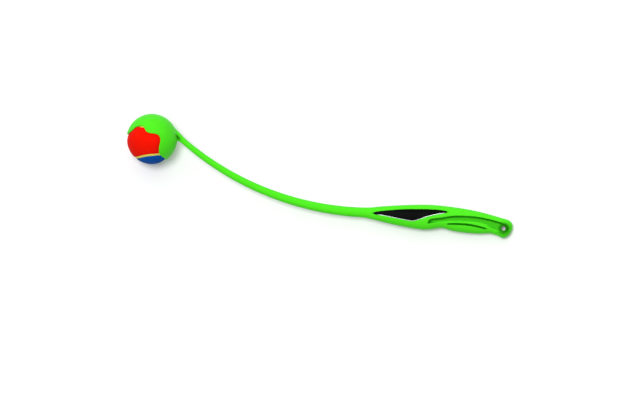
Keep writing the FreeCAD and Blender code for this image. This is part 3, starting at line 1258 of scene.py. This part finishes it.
    def _section(self, share: float, shrink: float, along: float, angles: np.ndarray) -> np.ndarray:
        """One section: its shape is read at a share of the length, shrunk, and set at a place."""
        at = np.array([share])
        top, bottom = heights_at(self.top, at)[0], heights_at(self.bottom, at)[0]
        half_thickness = self.half_thickness(at)[0]
        if share == 0.0:
            half_width, half_thickness = self.shaft.half_sizes(self.shaft.length)
        else:
            half_width = (top - bottom) / 2
        flat = oval(angles, half_width * shrink, half_thickness * shrink, self.shaft.squareness)
        flat[:, 0] += (top + bottom) / 2
        return np.column_stack([np.full(len(flat), along), flat])

    def _press_faces(self, bm: bmesh.types.BMesh) -> None:
        """Sinks the label's seat, the recess and the slot into both faces, and paints shade into
        them and round the hang hole's mouth.
        """
        points = places(bm)
        flat = points[:, :2]
        seat = self.label_edge.at(self.label_outline().depths(flat).min(0))
        groove = self.slot_edge.at(self._slot().depths(flat).min(0))
        recess = Outline([self.line(self.recess_top), self.line(self.recess_bottom)])
        upper, lower = recess.depths(flat)
        from_end = flat[:, 0] - self.recess_top[0][0] * self.length
        slope = self.blunt_run + (self.slope_run - self.blunt_run) * self.blunt_end.at(from_end)
        hollow = smooth_step(np.minimum((upper + self.recess_out) / self.step_run, lower / slope))
        sink = seat * self.label_depth + hollow * self.recess_depth + groove * self.slot_depth
        for vert, press in zip(bm.verts, np.minimum(sink, np.abs(points[:, 2]))):
            vert.co.z -= math.copysign(press, vert.co.z)
        # Painted shade: darker along the recess's steep upper wall and blunt end, in the recess,
        # the slot, the seat's bare tips and round the hole's mouth
        wall = np.maximum(self.wall_shade.at(upper), self.end_shade.at(from_end))
        mouth = np.linalg.norm(flat - self._hole_centre(), axis=1) - self.hole_radius
        tones = (
            hollow * (self.recess_tone + (1 - self.recess_tone) * wall),
            groove,
            seat * self.seat_tone,
            self.hole_shade.at(mouth) * self.hole_tone,
        )
        mark(bm, "painted_shade", np.max(tones, axis=0))

    def _hole_centre(self) -> np.ndarray:
        """The hang hole's middle in the grip's own length and width."""
        return np.array((self.hole_at[0] * self.length, self.hole_at[1]))

    def _drill(self, bm: bmesh.types.BMesh) -> None:
        """Opens the hang hole through the grip, with a rounded mouth on each face."""
        centre = Vector(self._hole_centre())
        mouth = self.hole_radius + self.hole_round
        near = [v for v in bm.verts if (v.co.xy - centre).length < mouth]
        bmesh.ops.delete(bm, geom=near, context="VERTS")
        loops = {1: [], -1: []}
        for edge in bm.edges:
            if edge.is_boundary and (edge.verts[0].co.xy - centre).length < mouth * 2:
                loops[1 if edge.verts[0].co.z > 0 else -1].append(edge)
        inner = []
        for side, edges in loops.items():
            depth = 0.0
            for vert in {v for e in edges for v in e.verts}:
                self._to_circle(vert, centre, mouth)
            for turn in spread(0.0, math.pi / 2, self.hole_rows):
                grown = bmesh.ops.extrude_edge_only(bm, edges=edges)["geom"]
                edges = [g for g in grown if isinstance(g, bmesh.types.BMEdge) and g.is_boundary]
                before, depth = depth, self.hole_round * (1 - math.cos(turn))
                for vert in {v for e in edges for v in e.verts}:
                    self._to_circle(vert, centre, mouth - self.hole_round * math.sin(turn))
                    vert.co.z -= side * (depth - before)
            inner += edges
        bmesh.ops.bridge_loops(bm, edges=inner)

    @staticmethod
    def _to_circle(vert: bmesh.types.BMVert, centre: Vector, radius: float) -> None:
        """Moves a corner, at its own height, to a circle round a centre."""
        out = (vert.co.xy - centre).normalized() * radius
        vert.co.x, vert.co.y = centre.x + out.x, centre.y + out.y

    def build(self, material: bpy.types.Material) -> bpy.types.Object:
        """Makes the grip.

        Args:
            material: The moulding's finish.

        Returns:
            The grip.
        """
        squareness = self.shaft.squareness
        angles = even_angles(self.columns, self.section_width, self.belly_thickness, squareness)
        bm = round_sheet(self._plain_rows(angles))
        self._press_faces(bm)
        self._drill(bm)
        bmesh.ops.holes_fill(bm, edges=[e for e in bm.edges if e.is_boundary])
        bm.transform(self.matrix)
        return make_piece("grip_moulding", bm, material, Body.STICK, ("grip",))


@dataclass
class Label:
    """A label film that lies in its seat in one face of the grip."""

    grip: Grip
    face: Face
    # How far it lies under the face, inside its seat's edge and short of its seat's tips
    sink: float = 0.1
    gap: float = 0.12
    tip_gaps: tuple[float, float] = (4.0, 3.0)
    # How its painted silver highlight line fades towards its two tips
    highlight_start: Fade = Fade(3.0, 10.0)
    highlight_end: Fade = Fade(1.0, 6.0)
    # How finely it is drawn
    line_steps: int = 600
    columns: int = 220
    rows: int = 40
    sharp_angle: float = 40.0

    @property
    def ends(self) -> tuple[float, float]:
        """Where the film starts and ends along the grip, in millimetres."""
        first, last = self.grip.label_top[0][0], self.grip.label_top[-1][0]
        length = self.grip.length
        return first * length + self.tip_gaps[0], last * length - self.tip_gaps[1]

    def _edges(self, along: np.ndarray) -> tuple[np.ndarray, np.ndarray]:
        """The heights of the film's upper and lower edge at places along the grip."""
        top = self.grip.line(self.grip.label_top).sample(self.line_steps)
        bottom = self.grip.line(self.grip.label_bottom).sample(self.line_steps)[::-1]
        return np.interp(along, *top.T) - self.gap, np.interp(along, *bottom.T) + self.gap

    def _upper_face(self, u: np.ndarray, v: np.ndarray) -> np.ndarray:
        """The points of the film's upper face for shares of its length and width."""
        x = self.ends[0] + (self.ends[1] - self.ends[0]) * u
        high, low = self._edges(x)
        middle = (high + low) / 2
        high, low = np.maximum(high, middle), np.minimum(low, middle)
        flat = np.column_stack([x, low + (high - low) * v])
        return np.column_stack([flat, self.grip.face_height(flat) - self.sink])

    def build(self, material: bpy.types.Material) -> bpy.types.Object:
        """Makes the label.

        Args:
            material: The film's finish.

        Returns:
            The label.
        """
        bm = bent_sheet(self.columns, self.rows, self._upper_face)
        along = places(bm)[:, 0]
        start, end = self.ends
        # Painted highlight: the silver line by the lower edge fades out towards both tips
        mark(bm, "silver_highlight", self.highlight_start.at(along - start) * self.highlight_end.at(end - along))
        low = self._edges(along)[1]
        sheet = bm.loops.layers.uv.new("sheet")
        bm.verts.index_update()
        for face in bm.faces:
            for loop in face.loops:
                x, y = loop.vert.co.xy
                loop[sheet].uv = (x, y - low[loop.vert.index])
        grown = bmesh.ops.extrude_face_region(bm, geom=bm.faces[:], use_keep_orig=True)
        for item in grown["geom"]:
            if isinstance(item, bmesh.types.BMVert):
                item.co.z -= self.grip.label_depth - self.sink
        mirror = Matrix.Diagonal((1.0, 1.0, float(self.face.value), 1.0))
        bm.transform(self.grip.matrix @ mirror)
        name = f"label_{self.face.name.lower()}"
        return make_piece(
            f"{name}_film", bm, material, Body.STICK,
            stands_for=(name,), sharp_angle=self.sharp_angle,
        )


# The ball


@dataclass(frozen=True)
class Nap:
    """Loose fibres that stand off the felt.

    Attributes:
        count: How many there are on a panel.
        tries: How many places are drawn for each of them.
        length: The longest one, in millimetres.
        shortest: The shortest one, as a share of that.
        radius: Half a fibre's thickness at its root.
        taper: The share of its thickness that it loses.
        depth: How deep it is rooted.
        seam_gap: How far from the panel's edge the first ones stand.
        floor_room: How far from the ball's radius the floor lies where any stand.
        rises: How far its tip stands off, from least to most, as shares of its length.
        lean: How far it runs along the skin.
        curl: How far it turns aside.
        arch: How far it bends over, in radians.
        joints: How many points it is bent at, with its ends.
        seed: What the random numbers start from.
    """

    count: int = 4200
    tries: int = 3
    length: float = 1.5
    shortest: float = 0.5
    radius: float = 0.035
    taper: float = 0.6
    depth: float = 0.35
    seam_gap: float = 0.6
    floor_room: float = 6.0
    rises: tuple[float, float] = (0.15, 0.5)
    lean: float = 0.8
    curl: float = 0.5
    arch: float = 2.2
    joints: int = 4
    seed: int = 7

    def grow(
        self, roots: np.ndarray, heights: np.ndarray, random: np.random.Generator
    ) -> bmesh.types.BMesh:
        """Makes the fibres.

        Args:
            roots: Directions from the ball's middle to their roots.
            heights: How far out the felt's skin lies there.
            random: Where the random numbers come from.

        Returns:
            The fibres.
        """
        curve = bpy.data.curves.new("nap", "CURVE")
        curve.dimensions = "3D"
        curve.bevel_depth = self.radius
        curve.bevel_resolution = 0
        curve.use_fill_caps = True
        for root, height in zip(roots, heights):
            lean = unit(np.cross(root, random.normal(size=3))) * self.lean
            curl = unit(np.cross(root, random.normal(size=3))) * self.curl
            length = self.length * random.uniform(self.shortest, 1.0)
            rise = random.uniform(*self.rises)
            spline = curve.splines.new("POLY")
            spline.points.add(self.joints - 1)
            for t, point in zip(np.linspace(0.0, 1.0, self.joints), spline.points):
                off = t * lean + t * t * curl + root * rise * math.sin(t * self.arch)
                point.co = (*(root * (height - self.depth) + length * off), 1.0)
                point.radius = 1.0 - self.taper * t
        holder = bpy.data.objects.new("nap", curve)
        mesh = bpy.data.meshes.new_from_object(holder)
        bm = bmesh.new()
        bm.from_mesh(mesh)
        bpy.data.objects.remove(holder)
        bpy.data.meshes.remove(mesh)
        bpy.data.curves.remove(curve)
        return bm


@dataclass
class Ball:
    """A felt-covered ball: two interlocking felt panels with a rubber seam between them.

    Where the cup doesn't press on it, the felt swells out a little, but not into the floor. Sizes
    are in millimetres and angles in degrees.
    """

    cup: Cup
    radius: float = 32.5
    felt_thickness: float = 3.0
    turn: tuple[float, float, float] = (-117.0, -175.1, 179.7)
    # The seam: how far it is sunk, winds to and fro and goes under the felt, and how round it is
    seam_width: float = 4.0
    seam_sink: float = 0.4
    seam_curl: float = 0.2
    seam_overlap: float = 0.1
    seam_corners: tuple[float, float] = (0.5, 0.6)
    # How far the felt stands up, free and under the cup, and how it swells out beyond the rim
    puff: float = 0.25
    pressed_puff: float = 0.1
    swell: float = 1.35
    free_edge: Fade = Fade(-4.0, 22.0)
    floor_gap: float = 0.2
    # The felt's rounded edge, its lumps and its nap
    edge_round: float = 0.9
    edge_reach: float = 0.3
    lumps_per_radius: float = 55.0
    lump_layers: tuple[float, float, int] = (1.0, 2.0, 4)
    lump_height: float = 0.08
    nap: Nap = Nap()
    # How finely it is drawn and measured, and how little a direction falls that meets the floor
    subdivisions: int = 7
    seam_columns: int = 480
    seam_rows: int = 24
    seam_steps: int = 1440
    batch: int = 3000
    least_fall: float = 0.01

    @property
    def matrix(self) -> Matrix:
        """Turns the ball as it lies in the cup."""
        yaw, pitch, roll = (math.radians(angle) for angle in self.turn)
        about = Matrix.Rotation(yaw, 4, "Z") @ Matrix.Rotation(pitch, 4, "Y")
        return about @ Matrix.Rotation(roll, 4, "X")

    @property
    def core_radius(self) -> float:
        """The radius of the rubber core under the felt."""
        return self.radius - self.felt_thickness

    def seam_line(self, count: int) -> tuple[np.ndarray, np.ndarray]:
        """The middle of the seam, and the direction across it.

        Args:
            count: How many places.

        Returns:
            Unit vectors to the seam, and unit vectors across it towards the orange felt.
        """
        turn = np.linspace(0.0, 2 * math.pi, count, endpoint=False)
        wide, curl = 1 - self.seam_curl, self.seam_curl
        line = unit(np.column_stack([
            wide * np.cos(turn) + curl * np.cos(3 * turn),
            wide * np.sin(turn) - curl * np.sin(3 * turn),
            2 * math.sqrt(wide * curl) * np.sin(2 * turn),
        ]))
        ahead = unit(np.roll(line, -1, axis=0) - np.roll(line, 1, axis=0))
        across = np.cross(line, ahead)
        orange = np.array((1.0, -1.0, 0.0)) / math.sqrt(2)
        nearest = np.argmax(line @ orange)
        return line, across * np.sign(across[nearest] @ (orange - line[nearest]))

    def _from_seam(self, directions: np.ndarray) -> tuple[np.ndarray, np.ndarray]:
        """How far directions lie from the seam, in millimetres on the skin, and the way there.

        Args:
            directions: Unit vectors.

        Returns:
            Distances, positive on the orange side, and the direction across the seam.
        """
        line, across = self.seam_line(self.seam_steps)
        distances, ways = [], []
        for part in np.array_split(directions, max(1, len(directions) // self.batch)):
            nearest = np.argmax(part @ line.T, axis=1)
            angle = np.arccos(np.clip((part * line[nearest]).sum(1), -1.0, 1.0))
            side = np.sign(((part - line[nearest]) * across[nearest]).sum(1))
            distances.append(angle * side * self.radius)
            ways.append(across[nearest])
        return np.concatenate(distances), np.concatenate(ways)

    def _felt(self, side: int) -> bmesh.types.BMesh:
        """One felt panel, on the orange side for 1 and on the blue side for -1."""
        bm = bmesh.new()
        bmesh.ops.create_icosphere(bm, subdivisions=self.subdivisions, radius=1.0)
        off = self._inside_panel(unit(places(bm)), side)
        beyond = [v for v, d in zip(bm.verts, off) if d < -self.edge_reach]
        bmesh.ops.delete(bm, geom=beyond, context="VERTS")
        rim = {v for e in bm.edges if e.is_boundary for v in e.verts}
        rim_places = np.array([v.co for v in rim])
        off, way = self._from_seam(unit(rim_places))
        shift = (self.seam_width / 2 - off * side)[:, None] / self.radius
        for vert, place in zip(rim, unit(rim_places + way * side * shift)):
            vert.co = place
        grown = bmesh.ops.extrude_face_region(bm, geom=bm.faces[:], use_keep_orig=True)["geom"]
        under = {g for g in grown if isinstance(g, bmesh.types.BMVert)}
        over = [v for v in bm.verts if v not in under]
        heights = self._felt_height(unit(np.array([v.co for v in over])), side)
        for vert, height in zip(over, heights):
            lump = noise.fractal(vert.co * self.lumps_per_radius, *self.lump_layers)
            vert.co = vert.co.normalized() * (height + lump * self.lump_height)
        for vert in under:
            vert.co = vert.co.normalized() * self.core_radius
        return bm

    def _inside_panel(self, directions: np.ndarray, side: int) -> np.ndarray:
        """How far directions lie inside a panel's edge, in millimetres on the skin."""
        return self._from_seam(directions)[0] * side - self.seam_width / 2

    def _felt_height(self, directions: np.ndarray, side: int) -> np.ndarray:
        """How far the felt's skin lies from the ball's middle in these directions.

        Args:
            directions: Unit vectors, before the ball is turned.
            side: 1 for the orange felt and -1 for the blue.

        Returns:
            The distances.
        """
        off = self._inside_panel(directions, side)
        short = self.edge_round - np.clip(off, 0.0, self.edge_round)
        drop = self.edge_round - np.sqrt(np.maximum(self.edge_round**2 - short**2, 0.0))
        free = self._freedom(directions)
        stands = self.pressed_puff * (1.0 - free) + (self.puff + self.swell) * free
        return np.minimum(self.radius + stands - drop, self._room(directions) - self.floor_gap)

    def _room(self, directions: np.ndarray) -> np.ndarray:
        """How far the floor lies from the ball's middle in these directions, up to a limit."""
        down = -(directions @ np.array(LIE.axes @ self.matrix.to_3x3()).T)[:, 2]
        return LIE.ball.z / MM / np.maximum(down, self.least_fall)

    def _freedom(self, directions: np.ndarray) -> np.ndarray:
        """How free the ball's cover is of the cup in these directions, from 0 to 1."""
        turned = directions @ np.array(self.matrix.to_3x3()).T
        return self.free_edge.at(self.cup.beyond_rim(turned))

    def _seam(self) -> bmesh.types.BMesh:
        """The rubber seam: a low rounded bead in the groove between the panels."""
        line, across = self.seam_line(self.seam_columns)
        half, low = self.seam_width / 2 + self.seam_overlap, self.core_radius
        high = (self.radius - self.seam_sink + self._freedom(line) * self.swell)[:, None]
        loop = []
        for turn in np.linspace(0.0, 2 * math.pi, self.seam_rows, endpoint=False):
            ways = np.array((math.cos(turn), math.sin(turn)))
            wide, tall = np.sign(ways) * np.abs(ways) ** self.seam_corners
            reach = (high + low) / 2 + tall * (high - low) / 2
            loop.append(unit(line + across * wide * half / self.radius) * reach)
        return round_sheet(loop + loop[:1])

    def _nap(self, side: int) -> bmesh.types.BMesh:
        """Loose fibres on one felt panel, away from the floor."""
        random = np.random.default_rng(self.nap.seed + side)
        roots = unit(random.normal(size=(self.nap.count * self.nap.tries, 3)))
        clear = self._room(roots) > self.radius + self.nap.floor_room
        grows = (self._inside_panel(roots, side) > self.nap.seam_gap) & clear
        roots = roots[grows][: self.nap.count]
        return self.nap.grow(roots, self._felt_height(roots, side), random)

    def build(
        self, orange: bpy.types.Material, blue: bpy.types.Material, rubber: bpy.types.Material
    ) -> None:
        """Makes the two felt panels with their nap, and the seam.

        Args:
            orange: The finish of the one panel.
            blue: The finish of the other.
            rubber: The seam's finish.
        """
        pieces = []
        for side, name, felt, slot in (
            (1, "felt_orange", orange, Slot.ORANGE_FELT),
            (-1, "felt_blue", blue, Slot.BLUE_FELT),
        ):
            pieces.append((f"{name}_panel", self._felt(side), felt, slot, (name,)))
            pieces.append((f"{name}_nap", self._nap(side), felt, slot, ()))
        pieces.append(("ball_seam_bead", self._seam(), rubber, Slot.SEAM, ("ball_seam",)))
        for name, bm, material, slot, nodes in pieces:
            bm.transform(self.matrix)
            make_piece(name, bm, material, Body.BALL, nodes)


# The room


@dataclass(frozen=True)
class Lamp:
    """A large far lamp.

    Attributes:
        name: What it is called.
        elevation: How high it stands, in degrees.
        left: How far it stands left of the picture's upper edge, in degrees.
        spread: How wide it looks from the stick, in degrees.
        level: The light that it throws on a level surface, where 1 shows colours as written.
    """

    name: str
    elevation: float
    left: float
    spread: float
    level: float


@dataclass
class Studio:
    """A white floor under soft light, and a camera straight above the stick.

    Attributes:
        pixel: The size of one of the photograph's pixels at the ball's middle, in millimetres.
        ball_pixel: Where the ball's middle lies in the photograph.
        picture: The photograph's size in pixels.
        roll: How far the picture's right is turned from the frame's X, in degrees.
        camera_height: How high the camera stands over the ball's middle, in metres.
        camera_reach: How far the camera sees, in metres.
        sensor: The width of the camera's sensor, in millimetres.
        key: The lamp that throws the shadow.
        fill: The wide lamp that softens it.
        sky: The level of the light from all round.
        floor_tone: How white the floor is to the camera.
        floor_glow: How much light the floor gives off by itself to the camera.
        floor_bounce: How white the floor is to the light that falls on things.
        floor_size: The floor's width, in metres.
    """

    pixel: float = 1.37
    ball_pixel: tuple[float, float] = (151.8, 139.2)
    picture: tuple[int, int] = (640, 400)
    roll: float = 14.34
    camera_height: float = 20.0
    camera_reach: float = 100.0
    sensor: float = 36.0
    key: Lamp = Lamp("key", elevation=77.5, left=48.0, spread=18.0, level=0.52)
    fill: Lamp = Lamp("fill", elevation=36.0, left=8.0, spread=80.0, level=0.2)
    sky: float = 0.28
    floor_tone: float = 0.95
    floor_glow: float = 0.15
    floor_bounce: float = 0.55
    floor_size: float = 30.0

    @property
    def right(self) -> Vector:
        """The picture's right, in the frame."""
        return heading(self.roll)

    @property
    def up(self) -> Vector:
        """The picture's up, in the frame."""
        return heading(self.roll + 90)

    def _middle(self) -> Vector:
        """The point at the ball's height that the picture's middle looks at."""
        right = (self.picture[0] / 2 - self.ball_pixel[0]) * self.pixel * MM
        down = (self.picture[1] / 2 - self.ball_pixel[1]) * self.pixel * MM
        return LIE.ball + self.right * right - self.up * down

    def _camera(self) -> None:
        """Sets the camera up."""
        data = bpy.data.cameras.new("camera")
        data.sensor_width = self.sensor
        data.lens = self.sensor * self.camera_height / (self.picture[0] * self.pixel * MM)
        data.clip_end = self.camera_reach
        camera = bpy.data.objects.new("camera", data)
        camera.location = self._middle() + Vector((0, 0, self.camera_height))
        camera.rotation_euler = Euler((0, 0, math.radians(self.roll)))
        bpy.context.scene.collection.objects.link(camera)
        bpy.context.scene.camera = camera

    def _hang(self, lamp: Lamp) -> None:
        """Adds a soft lamp."""
        data = bpy.data.lights.new(lamp.name, "SUN")
        data.angle = math.radians(lamp.spread)
        height = math.radians(lamp.elevation)
        data.energy = math.pi * lamp.level / math.sin(height)
        hung = bpy.data.objects.new(lamp.name, data)
        level = heading(self.roll + 90 + lamp.left) * math.cos(height)
        towards = level + Vector((0, 0, math.sin(height)))
        hung.rotation_euler = towards.to_track_quat("Z", "Y").to_euler()
        bpy.context.scene.collection.objects.link(hung)

    def _floor(self) -> None:
        """Lays the floor, which looks white to the camera and still takes shadows."""
        n = Nodes.material("floor")
        seen = n.seen()
        n.finish(
            Base_Color=n.mix(seen, grey(self.floor_bounce), grey(self.floor_tone)),
            Roughness=0.9,
            Specular_IOR_Level=0.0,
            Emission_Color=n.mix(seen, grey(0.0), grey(self.floor_glow)),
            Emission_Strength=1.0,
        )
        bm = bmesh.new()
        bmesh.ops.create_grid(bm, x_segments=1, y_segments=1, size=self.floor_size / 2)
        mesh = bpy.data.meshes.new("floor")
        bm.to_mesh(mesh)
        bm.free()
        mesh.materials.append(n.owner)
        floor = bpy.data.objects.new("floor", mesh)
        bpy.context.scene.collection.objects.link(floor)

    def _sky(self) -> None:
        """Surrounds the scene with even pale light, white where the camera sees it."""
        n = Nodes(bpy.data.worlds.new("sky"), "Background")
        bpy.context.scene.world = n.owner
        n.finish(Color=n.mix(n.seen(), grey(self.sky), grey(1.0)), Strength=1.0)

    def build(self) -> None:
        """Sets up the camera, the floor and the light."""
        self._camera()
        self._floor()
        self._sky()
        self._hang(self.key)
        self._hang(self.fill)
        bpy.context.scene.view_settings.view_transform = "Standard"


def main() -> None:
    """Builds the room and every piece."""
    logging.basicConfig(level=logging.INFO, format="%(name)s: %(message)s")
    Studio().build()
    stick_turn = math.atan2(LIE.axes.col[0].y, LIE.axes.col[0].x)
    plastic = MouldedPlastic(LIE.face, LIE.ball, stick_turn).build()
    film = PrintedFilm().build()
    orange = NeedledFelt(
        "orange_felt", lit=colour(255, 26, 4), shaded=colour(255, 14, 0), specks=colour(255, 54, 14)
    ).build()
    blue = NeedledFelt(
        "blue_felt", lit=colour(2, 98, 200), shaded=colour(0, 72, 162), specks=colour(16, 118, 214)
    ).build()
    seam = PlainRubber(
        "seam_rubber", base=colour(242, 234, 66), bloom=colour(252, 246, 116)
    ).build()
    core = PlainRubber("core_rubber", base=colour(52, 52, 54), bloom=colour(70, 70, 72)).build()
    cup = Cup()
    shaft = Shaft(cup)
    grip = Grip(shaft)
    for part in (cup, shaft, grip):
        part.build(plastic)
    for face in Face:
        Label(grip, face).build(film)
    Ball(cup).build(orange, blue, seam)
    for name in ("core_half_a", "core_half_b"):
        node = frame["nodes"][name]
        node.data.materials.clear()
        node.data.materials.append(core)
        LOG.info("%s: finished in rubber", name)


if __name__ == "__main__":
    main()
